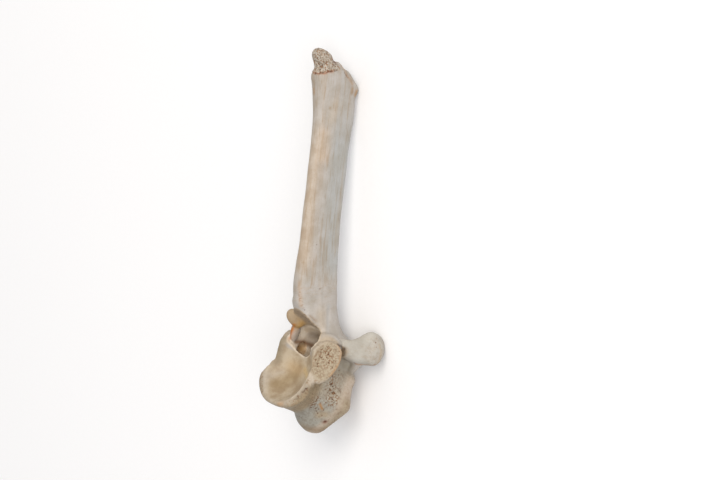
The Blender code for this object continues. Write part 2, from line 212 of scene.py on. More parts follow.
def cranial_head():
    """The low dome on the cranial end of the body."""
    return ellipsoid("cranial_head", (0, CENTRUM_FRONT - 6, -3.5), (16.5, 13.0, 16.0))


def arch():
    """The pedicles and the roof as one block, which leans back into the spine's foot."""
    # z, caudal edge, cranial edge, half width, squareness
    stations = (
        (4, -17, 15, 14, 3),
        (14, -18, 15, 15.5, 3.2),
        (20, -18.5, 14.5, 15, 3.4),
        (26, -17.5, 14, 14.6, 3.4),
        (31, -17.5, 13, 13.2, 3.4),
        (34, -19.8, 11.5, 11.6, 3.4),
        (37, -27.8, 8.5, 9.8, 3.4),
        (40, -33.4, 4.6, 8, 3.2),
        (44, -37, 0.8, 6.6, 2.8),
        (52, -38.2, -5, 5.4, 2.4),
        (60, -41.5, -10, 5, 2.2),
    )
    rings = []
    for z, back, front, half, squareness in curve_through(stations, 40):
        rings.append(oval((0, (back + front) / 2, z), RIGHT, CRANIAL, half, (front - back) / 2,
                          squareness))
    return loft("arch", rings)


def spine_point(along, offset, side):
    """A point of the spine: along its lean from the foot, offset cranially, and to one side."""
    lean, turn = math.sin(SPINE_LEAN), math.cos(SPINE_LEAN)
    return SPINE_FOOT + np.array((side, offset * turn - along * lean, along * turn + offset * lean))


def blade_thickness(s):
    """Share of the blade's half thickness at s, from 0 at its caudal edge to 1 at its cranial one."""
    caudal_round = math.sqrt(max(0.0, 1 - (1 - min(s / 0.16, 1)) ** 2.6))
    cranial_thin = 1 - 0.60 * max(0.0, (s - 0.35) / 0.65) ** 1.2
    cranial_round = math.sqrt(max(0.0, 1 - max(0.0, (s - 0.93) / 0.07) ** 2))
    return caudal_round * cranial_thin * cranial_round


def spine():
    """The long spinous process: a flat blade, thickest behind, which widens to a slanted tip."""
    # caudal edge: along, offset; cranial edge: along, offset; half thickness
    stations = (
        (-12, -14, -12, 14, 6.2),
        (-2, -15.5, -2, 15.6, 6),
        (8, -17.3, 8, 14.6, 5.4),
        (20, -17.1, 20, 13.6, 4.7),
        (36, -16, 36, 12.9, 4.2),
        (54, -15.7, 54, 12.6, 4),
        (76, -14.9, 76, 13.4, 4.1),
        (92, -14.5, 92, 13.6, 4.3),
        (104, -14.2, 103, 14.6, 4.6),
        (114, -14.5, 112, 15.2, 5),
        (123, -15.4, 118.5, 15.2, 5.6),
        (130, -16.4, 124.2, 14.7, 6.1),
        (135.5, -17.8, 129.6, 16.9, 6.4),
        (138.8, -17.6, 133.6, 14.4, 6.4),
        (141.4, -15.9, 137.2, 11, 6.1),
        (144.5, -16.6, 141, 7, 5.9),
        (148, -18.4, 143.6, 0.6, 5.4),
        (151.2, -18.9, 146.8, -4, 4.6),
        (153, -17.8, 150.6, -7.2, 3.4),
        (153.8, -15.8, 152.4, -10.6, 1.6),
    )
    rings = []
    half_count = RING_POINTS // 2
    for back_along, back, front_along, front, half in curve_through(stations, 80):
        ring = []
        for i in range(2 * half_count):
            share = 0.5 - 0.5 * math.cos(math.pi * i / half_count)
            side = 1 if i <= half_count else -1
            ring.append(spine_point(back_along + (front_along - back_along) * share,
                                    back + (front - back) * share,
                                    side * half * blade_thickness(share)))
        rings.append(ring)
    return loft("spine", rings)


def cap_step():
    """The raised lip beyond the notch in the tip's slanted edge."""
    slant = math.radians(-46)
    along_edge = spine_point(math.sin(slant), math.cos(slant), 0) - SPINE_FOOT
    return ellipsoid("cap_step", spine_point(142.8, 0.7, 0), (2.4, 4.8, 2.2),
                     (RIGHT, along_edge, np.cross(RIGHT, along_edge)))


def transverse_process(side):
    """The wing to one side: a neck that dips, then a club with a raised upper corner."""
    # x, y, bottom, top, half thickness
    stations = (
        (6, 2, 22, 38.6, 8.4),
        (11, 3.2, 22.4, 35.5, 7.6),
        (15.5, 4.6, 22.8, 35, 6.6),
        (19, 5.6, 22.8, 36.2, 5.8),
        (23, 6.8, 23, 39.2, 5.8),
        (26.5, 7.8, 23.3, 43.2, 6.1),
        (29.5, 8.7, 24, 45, 6.4),
        (33.3, 9.6, 24.9, 43.4, 6.2),
        (36, 10.2, 25.8, 40.2, 5.4),
        (37.6, 10.4, 28, 37.2, 4.2),
        (38.5, 10.6, 31, 35.2, 2),
    )
    rings = []
    for x, y, bottom, top, half in curve_through(stations, 34):
        rings.append(oval((side * x, y, (bottom + top) / 2), CRANIAL, DORSAL, half,
                          (top - bottom) / 2, 3.0))
    return loft("transverse_process", rings)


def turned_axes(turn, tilt):
    """Three axes turned about Z, then tilted about the turned X, in degrees."""
    turned = Matrix.Rotation(math.radians(turn), 3, "Z") @ Matrix.Rotation(math.radians(tilt), 3, "X")
    return [np.array(turned.col[i]) for i in range(3)]


def square_to(run):
    """Two ways square to a run: a level one, and the one that rises."""
    across = np.cross(run, DORSAL)
    across /= np.linalg.norm(across)
    return across, np.cross(across, run)


def costal_pad(side):
    """The raised pad that carries the rib's caudal facet, on the body's caudal upper corner."""
    # outline of the facet: distance along it from its medial edge, height
    outline = ((-1.0, 19.5), (1.2, 25), (4.8, 28.2), (9.3, 29), (13.2, 28), (16.4, 25.4),
               (17.8, 20.8), (17.8, 15.6), (16.6, 10.5), (14.4, 5.2), (10.8, 1.4), (7, 1.8),
               (4.2, 6.0), (1.1, 12.8))
    middle = np.mean(outline, axis=0)
    # depth below the facet, share of the outline's size
    stations = ((-12, 0.5), (-8, 0.74), (-4, 0.92), (-1.2, 1.0), (0.2, 0.96), (0.9, 0.86))
    rings = []
    for depth, share in curve_through(stations, 12):
        ring = []
        for along, height in outline:
            along, height = middle + (np.array((along, height)) - middle) * share
            point = PAD_START + PAD_ALONG * along + PAD_OUT * depth + DORSAL * height
            ring.append(point * (side, 1, 1))
        rings.append(ring)
    return loft("costal_pad", rings)


def pad_shoulder(side):
    """The slope that fills the corner between the arch's wall and the top of the rib's pad."""
    return ellipsoid("pad_shoulder", (side * 13.4, -9.4, 26.4), (6.6, 9.6, 7.4), turned_axes(-side * 30, 0))


def pad_foot(side):
    """The smooth flank where the rib's pad runs down into the rim of the cup."""
    return ellipsoid("pad_foot", (side * 18.5, -15.4, 3.0), (3.4, 4.2, 4.6), turned_axes(-side * 20, 0))


def wall_root(side):
    """The swelling of the arch's wall under the wing, above the body's cranial corner."""
    return ellipsoid("wall_root", (side * 13.4, 9.6, 22.4), (3.8, 6.4, 5.0))


def costal_hollow(side):
    """The shallow dish of the rib's facet."""
    centre = PAD_START + 16.0 * DORSAL + 9.2 * PAD_ALONG + 9.3 * PAD_OUT
    return ellipsoid("costal_hollow", centre * (side, 1, 1), (10.0, 15.0, 22.0), turned_axes(-side * 31, 0))


def left_lip():
    """The caudal articular lip under the spine's foot on the left, which is whole."""
    return ellipsoid("left_lip", (-7.8, -23.8, 34.6), (2.9, 7.3, 5.0), turned_axes(-14, -15))


def right_lip():
    """The lip on the right, which is worn short, so that the canal's flare runs through it."""
    return ellipsoid("right_lip", (5.6, -22.5, 34.2), (3.4, 7.2, 3.8), turned_axes(14, -24))


def pedicle_crest():
    """The sharp caudal edge of the arch's left wall, which runs up to the lip on that side."""
    return ellipsoid("pedicle_crest", (-10.3, -18.3, 28.4), (2.3, 3.4, 7.4), turned_axes(0, 14))


def cranial_articular(side):
    """One of the pair of lips on the front edge of the roof."""
    return ellipsoid("cranial_articular", (side * 8.6, 11.6, 34.2), (5.0, 5.6, 3.0),
                     turned_axes(-side * 10, 8))


def canal():
    """The hole for the spinal cord, from end to end of the arch, with a gabled flare behind."""
    stations = (
        (-46, ((0, 13), (6, 14), (14, 17), (20, 25), (20, 33), (11, 37.5), (0, 38.5))),
        (-34, ((0, 14), (6, 15), (13.4, 18), (18.5, 25), (18, 31.5), (9, 36.6), (0, 38.2))),
        (-27, ((0, 15), (5.4, 15.8), (12, 18), (16.6, 24), (16, 30.6), (8.4, 35.2), (0, 36.8))),
        (-21, ((0, 15.2), (4.8, 16.2), (10, 18), (14.2, 23), (14.2, 29), (8.6, 33.4), (0, 35.2))),
        (-17, ((0, 15.2), (4.4, 16.2), (8.6, 18), (12.2, 22), (12.8, 28), (8.8, 32.8), (0, 34.2))),
        (-12, ((0, 15.2), (4.2, 16.2), (7.6, 18), (10.4, 21.6), (10.8, 27), (8.4, 31.8), (0, 33.4))),
        (0, ((0, 15.2), (4.2, 16.2), (7.4, 17.8), (10, 21.4), (10.4, 26.6), (8.4, 31.2), (0, 33.2))),
        (14, ((0, 16), (4.4, 16.8), (7.6, 18.2), (10.4, 21.8), (10.8, 27), (8.8, 31.6), (0, 34))),
        (34, ((0, 16), (5, 17), (9, 18.6), (12.4, 23), (12.6, 29), (10, 35), (0, 39))),
    )
    return sections("canal", stations, 36)


def cup():
    """The hollow of the caudal end, which takes the head of the next vertebra."""
    return ellipsoid("cup", (0, CENTRUM_BACK - 16.0, 3.0), (25.0, 25.5, 26.0))


def worn_rim():
    """The bevel that wear has left on the right lower part of the caudal rim."""
    slope = math.radians(-57)
    along = np.array((math.cos(slope), 0, -math.sin(slope)))
    outward = np.array((-math.sin(slope), 0, -math.cos(slope)))
    centre = np.array((17.2, CENTRUM_BACK - 0.5, -8.0)) + outward * 8.0
    return ellipsoid("worn_rim", centre, (17.0, 8.0, 8.0), (along, CRANIAL, outward))


def nerve_hole(side):
    """The bent hole for the spinal nerve, which rises through the wall ahead of the rib's pad."""
    # x, y, z, radius; the left one bends back more sharply
    right_stations = (
        (5.5, -12.0, 17.5, 2.6),
        (9.5, -8.6, 20.0, 2.6),
        (12.5, -4.2, 23.2, 2.6),
        (15.4, -0.8, 25.4, 2.7),
        (19.0, -0.6, 26.2, 3.0),
        (25.0, -3.4, 26.8, 3.2),
    )
    left_stations = (
        (5.5, -12.0, 17.5, 2.6),
        (9.5, -8.8, 19.6, 2.8),
        (12.4, -7.4, 21.8, 2.6),
        (15.4, -8.0, 23.4, 2.5),
        (18.6, -10.6, 24.4, 2.6),
        (23.5, -15.0, 25.2, 2.8),
    )
    stations = right_stations if side > 0 else left_stations
    across, up = square_to(np.array((0.77, 0.54, 0.34)))
    rings = []
    for x, y, z, radius in curve_through(stations, 20):
        ring = oval((x, y, z), across, up, radius, radius)
        rings.append([point * (side, 1, 1) for point in ring])
    return loft("nerve_hole", rings)


def wing_web(side):
    """The thin web from the wing's underside down to the corner of the cranial rib facet."""
    start, end = np.array((14.0, 14.0, 18.0)), np.array((28.0, 8.5, 28.0))
    across, up = square_to((end - start) / np.linalg.norm(end - start))
    rings = []
    for share in np.linspace(0, 1, 10):
        ring = oval(start + (end - start) * share, across, up, 2.6, 4.6 - 0.6 * share)
        rings.append([point * (side, 1, 1) for point in ring])
    return loft("wing_web", rings)


def join_pieces(pieces, cutters, late):
    """Fuses the pieces into one closed surface, takes the cutters out of it, then adds the late ones."""
    body = pieces[0]
    for others, operation in ((pieces[1:], "UNION"), (cutters, "DIFFERENCE"), (late, "UNION")):
        group = bpy.data.collections.new(operation.lower())
        for piece in others:
            group.objects.link(piece)
        fuse = body.modifiers.new(operation.lower(), "BOOLEAN")
        fuse.operation = operation
        fuse.operand_type = "COLLECTION"
        fuse.collection = group
        fuse.solver = "EXACT"
        apply_modifiers(body)
        for piece in others:
            bpy.data.objects.remove(piece)
        bpy.data.collections.remove(group)
    return body


def apply_modifiers(piece):
    """Replaces the mesh with the one its modifiers make."""
    depsgraph = bpy.context.evaluated_depsgraph_get()
    made = bpy.data.meshes.new_from_object(piece.evaluated_get(depsgraph))
    piece.modifiers.clear()
    piece.data = made


def keep_largest_shell(piece):
    """Drops loose scraps and sealed hollows, so that one closed surface is left."""
    mesh = bmesh.new()
    mesh.from_mesh(piece.data)
    left = set(mesh.faces)
    shells = []
    while left:
        stack = [left.pop()]
        shell = []
        while stack:
            face = stack.pop()
            shell.append(face)
            for edge in face.edges:
                for other in edge.link_faces:
                    if other in left:
                        left.remove(other)
                        stack.append(other)
        shells.append(shell)
    shells.sort(key=len)
    for shell in shells[:-1]:
        bmesh.ops.delete(mesh, geom=shell, context="FACES")
    mesh.to_mesh(piece.data)
    mesh.free()


def ramp(value, start, end):
    """0 before start, 1 after end, and an even S between them."""
    share = np.clip((np.asarray(value, float) - start) / (end - start), 0, 1)
    return share * share * (3 - 2 * share)


def spine_places(points):
    """Each point's distance along the spine from its foot, and its offset towards the head."""
    from_foot = points - SPINE_FOOT
    lean, turn = math.sin(SPINE_LEAN), math.cos(SPINE_LEAN)
    return from_foot[:, 2] * turn - from_foot[:, 1] * lean, from_foot[:, 1] * turn + from_foot[:, 2] * lean


def path_distance(points, path):
    """The distance of each point from a path of straight runs, and how far along it is, 0 to 1."""
    path = np.array(path, float)
    nearest = np.linalg.norm(points - path[0], axis=1)
    place = np.full(len(points), 0.5 if len(path) == 1 else 0.0)
    for i in range(len(path) - 1):
        run = path[i + 1] - path[i]
        share = np.clip((points - path[i]) @ run / (run @ run), 0, 1)
        away = np.linalg.norm(points - path[i] - share[:, None] * run, axis=1)
        closer = away < nearest
        nearest[closer] = away[closer]
        place[closer] = (i + share[closer]) / (len(path) - 1)
    return nearest, place


def near_path(points, path, reach):
    """1 on the path, falling smoothly to nothing round about the reach."""
    away, _ = path_distance(points, path)
    return np.exp(-(away / reach) ** 2)


def turned_right(points):
    """The points with their left side turned over to the right."""
    return np.column_stack([np.abs(points[:, 0]), points[:, 1:]])


def on_form(points, form, reach):
    """1 where a point lies on the form's surface, 0 from reach millimetres away; the form is removed."""
    mesh = form.data
    corners = [tuple(f.vertices) for f in mesh.polygons]
    tree = BVHTree.FromPolygons([v.co / MM for v in mesh.vertices], corners)
    bpy.data.objects.remove(form)
    away = np.array([tree.find_nearest(Vector(p))[3] for p in points])
    return 1 - ramp(away, 0.4 * reach, reach)


# The suture under the spine's cap: offset towards the head, distance along the spine.
CAP_SUTURE = ((-30, 138.1), (-17.3, 138.1), (-16.2, 138.3), (-14.7, 138.5), (-13.5, 139.1), (-12.5, 139.8),
              (-10.0, 140.2), (-6.4, 140.7), (-4.2, 141.1), (-1.3, 141.3), (1.6, 141.0), (3.3, 139.0),
              (5.1, 137.0), (8.5, 134.8), (17.2, 129.4), (30, 124.0))

# How deep and dark that suture is along its way: offset, share.
SUTURE_SHARE = ((-19, 0.5), (-16, 0.35), (-14.2, 0.3), (-13.2, 0.6), (-12.4, 1.0), (-8.6, 1.0), (-7.7, 0.25),
                (-6.9, 0.8), (-5.9, 0.8), (-5.2, 0.15), (5.0, 0.22), (7.0, 0.05))

# The worn crest of the cup's lower rim, and its thinner upper part.
RIM_CREST = ((0, -18.5, -19.5), (6.2, -18.7, -18.8), (12.0, -18.9, -16.3), (15.0, -18.6, -10.8),
             (17.9, -18.2, -6.7), (21.3, -18.2, -2.7), (22.4, -16.8, 0.4), (20.6, -17.0, 4.0))

# The edge of the cranial end, below and at the side.
FRONT_EDGE = ((21.5, 17.0, -1.1), (21.2, 17.3, -5.7), (17.6, 17.8, -10.4), (12.5, 19.2, -15.7),
              (7.9, 19.8, -20.6), (0, 20.0, -24.0))

# Low lines: path, half width and height in millimetres, less than 0 for a groove, and how dark it is, as
# painted shade in the groove.
LINES = (
    (((4.8, -27, 59.9), (5.6, -22, 50), (7.3, -18.2, 41.8), (9.7, -15.4, 33.3)), 1.3, 0.35, 0),
    (((5.6, -14.6, 49), (6.5, -12.5, 44), (9, -11.4, 38.2), (14.5, -12.8, 32)), 1.5, -0.4, 0),
    (((15.4, 6.6, 6.9), (16.1, 9, 5.7), (17.3, 11.2, 4.5), (18, 12.6, 3)), 0.5, -0.35, 0.5),
    (((16.6, 11, 8.4), (16.8, 10.6, 6.2), (17.6, 12.2, 4.4)), 0.5, -0.35, 0.5),
    (((3.9, -75.2, 180), (4.1, -73.4, 178.8), (4.1, -71, 177.7)), 0.5, -0.4, 0.5),
    (((20.4, -16.6, -4), (18.9, -16.4, -7), (17.3, -16.2, -10.5), (15.6, -15.8, -12.8)), 0.7, -0.3, 0.5),
    (((5.8, -28.6, 37.6), (8.1, -26.7, 37.7), (8.9, -21.5, 36.7)), 0.4, -0.3, 0.4),
)

# Small holes where vessels go in: place, radius, depth, in millimetres.
VESSEL_HOLES = (
    ((4.2, -41.1, 78.9), 0.5, 0.35),
    ((4.4, -42, 69.5), 0.4, 0.25),
    ((5.2, -25.8, 55.8), 0.5, 0.45),
    ((3.9, -35.4, 45), 0.4, 0.35),
    ((3.9, -33, 41.4), 0.4, 0.35),
    ((5.7, -30.6, 39.6), 0.5, 0.4),
    ((5.6, -28.9, 37), 0.5, 0.4),
    ((0.4, -92.1, 169.7), 0.9, 0.6),
    ((2.2, -84.2, 182.4), 1.5, 0.9),
    ((20.4, -16.6, -4.2), 0.8, 0.6),
    ((18.9, -16.4, -7.2), 0.8, 0.6),
    ((17.5, -16.4, -10.4), 0.7, 0.6),
    ((16.6, -15.9, -12.4), 0.8, 0.6),
    ((24.5, 6.8, 22.9), 0.7, 0.5),
    ((13.2, 13.6, -16.3), 1, 0.8),
    ((14.9, 4.4, 6), 0.6, 0.6),
    ((15.1, 5.2, 2.9), 0.6, 0.6),
    ((16.6, 8.2, -1.6), 0.6, 0.6),
    ((14.9, 3, 10.6), 0.6, 0.6),
)

# Stains, and some strips of painted shade, each marked below: path, half width in millimetres, strength,
# colour.
STAINS_AND_PAINTED_SHADE = (
    # near the tip of the spine
    (((-1.3, -85.8, 159.7), (-1.3, -86.6, 161.6)), 1.3, 0.7, "#9A7850"),
    (((3.9, -64.4, 173.7), (3.8, -63.4, 171.6)), 1.3, 0.75, "#94744E"),
    (((3.1, -60.1, 174), (3, -59.8, 171.6)), 1.2, 0.8, "#9C7444"),
    (((2, -77.6, 182.4), (4, -72.2, 178.6), (3.8, -65.6, 176.1)), 1, 0.45, "#A07850"),
    (((2.2, -84.2, 182.4),), 1.9, 1, "#6A3A26"),
    (((5.3, -75, 155.4),), 0.8, 0.7, "#8E7454"),
    (((6, -84.7, 175.4), (6.2, -88, 173.4), (5.6, -89.7, 171.2), (2.8, -91.7, 169.9),
      (-1.4, -92.1, 170.2)), 0.7, 0.75, "#9A5F34"),
    # along the spine and at its foot
    (((5.1, -72.6, 158.5), (5, -70, 150)), 4, 0.3, "#B4A084"),
    (((4.6, -70, 140), (4.4, -64, 128)), 4.5, 0.35, "#BFA382"),
    (((2.6, -40.5, 53.1), (3.1, -38.4, 49.4), (3.9, -35.7, 45.3), (4, -33.3, 40.9)), 1.3, 0.35, "#AE8A60"),
    (((5.6, -14.6, 49), (9, -11.4, 38.2), (14.5, -12.8, 32)), 1.6, 0.4, "#A0A3A3"),
    (((7.3, -18.2, 41.8), (14, -15.8, 30.6)), 5, 0.4, "#B8A68E"),
    (((3.3, -44.5, 65.4),), 0.9, 0.7, "#9A8468"),
    # the gap between the rib's facet and the wing, darkened with painted shade, and the wing's lower edge
    # painted shade: the dark gap and crease under the wing's root
    (((16.3, -0.2, 28), (20.2, 0.7, 27.2), (18.8, 1.5, 25.2)), 2, 0.85, "#A6937C"),
    (((20.9, -7.8, 28.6), (20.3, -5.6, 28.7), (18.6, -2.4, 28.9), (18.6, 0.2, 28.6)), 1.1, 0.9, "#4E3A2A"),
    (((18.2, 4.2, 22.8), (18.6, 2.4, 24.6)), 1, 0.7, "#54402F"),
    (((25.1, 6.9, 22.9), (28.2, 8.3, 23.5), (33, 10, 24.6), (36.4, 12.4, 26.8)), 0.7, 0.75, "#94663C"),
    (((37, 9, 38.6), (38.4, 11.7, 33.9), (37.6, 12.8, 28.9)), 1, 0.4, "#A48A66"),
    # the edge of the rib's facet
    (((22, -10.5, 29), (25.4, -6.8, 25.5), (26.2, -5, 19), (24.9, -6.9, 9)), 0.9, 0.55, "#AC8050"),
    # the side of the body
    (((14.5, 3.1, -8), (14.4, 6.2, -10.1)), 0.8, 0.85, "#9A6C30"),
    (((14.9, 9.8, -12.4), (12.5, 7.4, -14.1)), 2.6, 0.35, "#A88A5C"),
    (((13.2, 13.6, -16.3),), 1.5, 1, "#6E3B22"),
    (((8, -19.1, -17.9), (5, -19.2, -18.9)), 1.6, 0.5, "#A87A48"),
    (((9, 18.5, -20.6), (5.1, 12, -23.7), (1.1, 9, -24.2)), 3.2, 0.55, "#7E6442"),
    # the canal's left wall, with the hole for the nerve, and its roof
    (((-8.8, -20.5, 28.5), (-8.2, -17.3, 25.7), (-9.1, -18.4, 23)), 2.6, 0.75, "#A2917F"),
    (((-6.7, -23.7, 30.1), (-9.4, -21.8, 28.4), (-10.5, -20.3, 25.3), (-11.6, -18.9, 22.4)),
     1.3, 1, "#A45E08"),
    # painted shade: the dark band over the left nerve hole
    (((-10.7, -13.8, 21.8), (-10.6, -12, 22.7), (-10.7, -8, 24), (-10.5, -1.4, 24.6)),
     1.9, 0.9, "#6E4C2C"),
    (((-11.7, -18.3, 20.5), (-8.2, -14.6, 18), (0.6, -11.5, 14.9)), 1.2, 0.45, "#AC9C84"),
    (((-14.1, -6.7, 20.9), (-12.4, -6.6, 20)), 2, 0.6, "#A8803E"),
    (((-3.6, -8.5, 16.1),), 1.5, 0.7, "#7E5C3A"),
    (((-9, -6.5, 30), (-7.8, -2, 31.3)), 3.2, 0.55, "#766452"),
    (((-4.9, -14.3, 33.2), (-1.2, -14.4, 33.6)), 1.4, 0.7, "#E0D0B8"),
    (((8.1, -26.7, 37.7), (8.9, -21.5, 36.7)), 1, 0.5, "#8A6E52"),
    (((-4.8, -20.2, 32.5), (-5.9, -20.1, 30.6)), 3, 0.75, "#AC8444"),
    # the left rib pad and the cup
    # painted shade: the darker fold on the left pad's caudal side
    (((-15.8, -19.7, 21.2), (-16.6, -20, 18.2), (-16.7, -18.9, 14), (-16.6, -16.4, 8.8)),
     2.4, 0.75, "#857860"),
    (((-16, -15, 20), (-18, -17.3, 9.5), (-17.4, -16.6, 5.8)), 3, 0.5, "#7E6E56"),
    (((9.4, -11.1, 4.2), (3.7, -9.8, 7.5)), 2, 0.4, "#C09C50"),
    (((-15.6, -15.7, -3), (-14.4, -14, 0), (-12.2, -12.5, 1.8)), 1.8, 0.5, "#B6AA98"),
    (((-8.3, -10.9, 7.2), (-1.3, -9.4, 6.6)), 4.5, 0.45, "#A88A60"),
    (((-17.9, -19.2, -8.9), (-18.4, -18, -3)), 3.5, 0.55, "#A99D8D"),
)

# The middle of the brown blotch in the cup, and the most porous part of the rib's facet.
CUP_BLOTCH = ((-14, -15.8, -6.7), (-9.6, -12.8, -6), (-4, -9.6, 3))
FACET_PITS = ((20.4, -13.9, 21.4), (23.4, -8.8, 18.7), (19.8, -15.1, 15))

# The kinds of surface: a light and a dark colour, and how much of its mottling is fine.
KINDS = {
    "shaft": ("#AEA8A1", "#A29A8F", 0.3),
    # warmer along the spine's caudal edge: partly painted warm light
    "caudal_edge_tint_and_light": ("#B5A898", "#A79682", 0.3),
    # greyer on the spine's flat cranial side: partly painted shade
    "grey_side_tint_and_shade": ("#A3A4A2", "#9B9A94", 0.3),
    "cap": ("#B9B0A2", "#857765", 1.0),
    "wing": ("#B5B1A7", "#AAA498", 0.4),
    "club": ("#AEA99F", "#9C9386", 0.6),
    "body_side": ("#A59C8B", "#897D6B", 0.7),
    # grey tint of the body's underside, partly painted shade
    "belly_tint_and_shade": ("#969388", "#7E7567", 0.6),
    "front_band": ("#B2A493", "#A18F7C", 0.6),
    "front_edge": ("#928368", "#7A694F", 0.8),
    "shade_band": ("#928064", "#77664C", 0.7),
    "pad": ("#AFA28F", "#9E8D77", 0.6),
    "facet": ("#A79A82", "#88745A", 0.9),
    "cup": ("#B2A38B", "#99856A", 0.15),
    "cup_blotch": ("#998462", "#897452", 0.2),
    "rim": ("#B7AB9A", "#A69882", 0.4),
    # painted light: the canal's inside is paler than the shaft, to brighten the recess
    "canal": ("#D4C8B6", "#C0AE94", 0.2),
    # darker under the canal's roof: partly painted shade
    "roof": ("#9A8872", "#86745E", 0.6),
    "lip": ("#A38F72", "#947D5F", 0.4),
    "cave": ("#C2A886", "#967A5A", 0.2),
    # painted shade: the hollow under the wing's root
    "painted_shade_under_wing": ("#887F6A", "#7D725E", 0.2),
}


def kind_weights(points):
    """How much of each kind of surface there is at each point, later kinds laid over earlier ones."""
    right = turned_right(points)
    x, y, z = right.T
    along, offset = spine_places(points)
    beyond = along - np.interp(offset, *np.array(CAP_SUTURE).T)
    body = (1 - ramp(z, 15, 19)) * ramp(y, -14, -8)
    # distance along the rib's facet from its medial edge, and out from it
    run = (right - PAD_START) @ PAD_ALONG
    out = (right - PAD_START) @ PAD_OUT
    facet_oval = np.hypot((run - 8.9) / 9.2, (z - 15.8) / 13.6)
    pad_oval = np.hypot((run - 8.4) / 11.6, (z - 15.4) / 16.4)
    hollow = on_form(points, cup(), 1.4)
    flare = on_form(points, canal(), 1.5)
    caves = np.maximum(on_form(points, nerve_hole(1), 1.2), on_form(points, nerve_hole(-1), 1.2))
    kinds = {
        "shaft": np.ones(len(points)),
        # warmer along the spine's caudal edge, partly painted warm light
        "caudal_edge_tint_and_light": (1 - ramp(offset, -14.5, -6.5)) * ramp(along, 8, 30)
        * (1 - 0.8 * ramp(along, 85, 118)),
        # greyer on the spine's flat cranial side, partly painted shade
        "grey_side_tint_and_shade": 0.8 * ramp(offset, -6, 2) * ramp(along, 8, 22) * (1 - 0.75 * ramp(along, 92, 122)),
        "cap": ramp(beyond, -0.6, 0.8) * (1 - 0.7 * ramp(offset, -5, 0)),
        "wing": ramp(x, 12, 17) * ramp(z, 22, 25) * ramp(y, -8, -2),
        "club": ramp(x, 31, 35.5) * ramp(z, 20, 22),
        "body_side": body,
        # the body's underside: its grey tint is partly painted shade
        "belly_tint_and_shade": body * (1 - ramp(z, -8, 0)) * ramp(y, -5, 0),
        "front_band": ramp(y, 10, 14.5) * (1 - ramp(z, 13, 18)),
        "front_edge": 0.8 * near_path(right, FRONT_EDGE, 4.0),
        "shade_band": (1 - ramp(y, -5, 1.5)) * (1 - ramp(z, 2, 6)),
        "pad": (1 - ramp(pad_oval, 0.9, 1.08)) * ramp(out, -6, -3) * ramp(y, -22, -20),
        "facet": (1 - ramp(facet_oval, 0.74, 1.06)) * ramp(out, -3.4, -1.6),
        "cup": hollow * (1 - ramp(z, 15.5, 18)),
        "cup_blotch": 0.8 * hollow * near_path(points, CUP_BLOTCH, 6),
        "rim": 0.85 * near_path(right, RIM_CREST, 2.2),
        # the canal's inside, painted paler as painted light
        "canal": flare * ramp(z, 13.5, 15.5) * ramp(y, -34, -30) * (1 - ramp(y, 14, 20)),
        # darker under the roof of the canal's flare, partly painted shade
        "roof": flare * ramp(z, 29.5, 33) * (1 - ramp(y, -18, -13)),
        "lip": on_form(points, left_lip(), 1.3) * (1 - ramp(points[:, 0], -4, -2)),
        "cave": caves * (1 - ramp(x, 17, 19)) * (1 - hollow) * ramp(y, -12, -10),
        # painted shade in the hollow under the wing's root
        "painted_shade_under_wing": 0.85 * near_path(right, ((17.0, 3.0, 20.6), (17.0, 8.0, 19.5)), 4.4),
    }
    suture = np.exp(-(beyond / 0.5) ** 2) * ramp(along, 120, 127)
    suture *= np.interp(offset, *np.array(SUTURE_SHARE).T)
    return kinds, suture


def pore_share(points, kinds):
    """How much of the surface is open in pores: on the cap, the rib facets, the rim and the body's side."""
    right = turned_right(points)
    z = right[:, 2]
    share = 0.75 * kinds["cap"] + 0.24 * kinds["facet"] + 0.10 * kinds["club"] + 0.25 * kinds["front_edge"]
    share += 0.26 * kinds["facet"] * near_path(right, FACET_PITS, 4.5)
    share += 0.95 * near_path(right, ((15.2, 5.5, 5.0), (16.6, 8.2, 1.5), (16.8, 8.1, -3.0)), 4.0)
    share += 0.35 * near_path(right, ((15.0, 3.0, 11.5), (15.8, 8.8, 12.5)), 3.0)
    share += 0.65 * near_path(right, ((14.6, -1.5, -6.5), (12.4, 1.2, -11.0)), 2.8)
    share += 0.45 * near_path(right, RIM_CREST, 3.4) * (1 - kinds["cup"]) * (1 - ramp(z, 2, 5))
    share += 0.35 * near_path(points, ((2.8, -37.9, 48.2), (3.7, -35.4, 44.0), (5.1, -32.2, 41.0)), 1.8)
    share += 0.20 * kinds["shade_band"] + 0.10 * kinds["belly_tint_and_shade"]
    return np.clip(share * (1 - 0.8 * kinds["rim"]) * (1 - kinds["cup"]), 0, 0.95)


def surface_arrays(piece):
    """The mesh's points in millimetres and its normals, as arrays."""
    count = len(piece.data.vertices)
    points = np.empty(count * 3)
    normals = np.empty(count * 3)
    piece.data.vertices.foreach_get("co", points)
    piece.data.vertices.foreach_get("normal", normals)
    return points.reshape(-1, 3) / MM, normals.reshape(-1, 3)


def keep_value(piece, name, values):
    """Stores one number, or one triple, for each point of the mesh."""
    single = values.ndim == 1
    attribute = piece.data.attributes.new(name, "FLOAT" if single else "FLOAT_VECTOR", "POINT")
    attribute.data.foreach_set("value" if single else "vector", values.astype(np.float32).ravel())


def split_finer(piece, amount):
    """Halves the edges of the faces where amount is over a half, for the small relief there."""
    mesh = bmesh.new()
    mesh.from_mesh(piece.data)
    mesh.verts.ensure_lookup_table()
    faces = [face for face in mesh.faces if max(amount[v.index] for v in face.verts) > 0.5]
    edges = {edge for face in faces for edge in face.edges}
    bmesh.ops.subdivide_edges(mesh, edges=list(edges), cuts=1, use_grid_fill=True)
    bmesh.ops.triangulate(mesh, faces=mesh.faces)
    mesh.to_mesh(piece.data)
    mesh.free()


def colour(code):
    """A linear colour from an sRGB hex code."""
    parts = [int(code[i : i + 2], 16) / 255 for i in (1, 3, 5)]
    return [p / 12.92 if p <= 0.04045 else ((p + 0.055) / 1.055) ** 2.4 for p in parts] + [1.0]


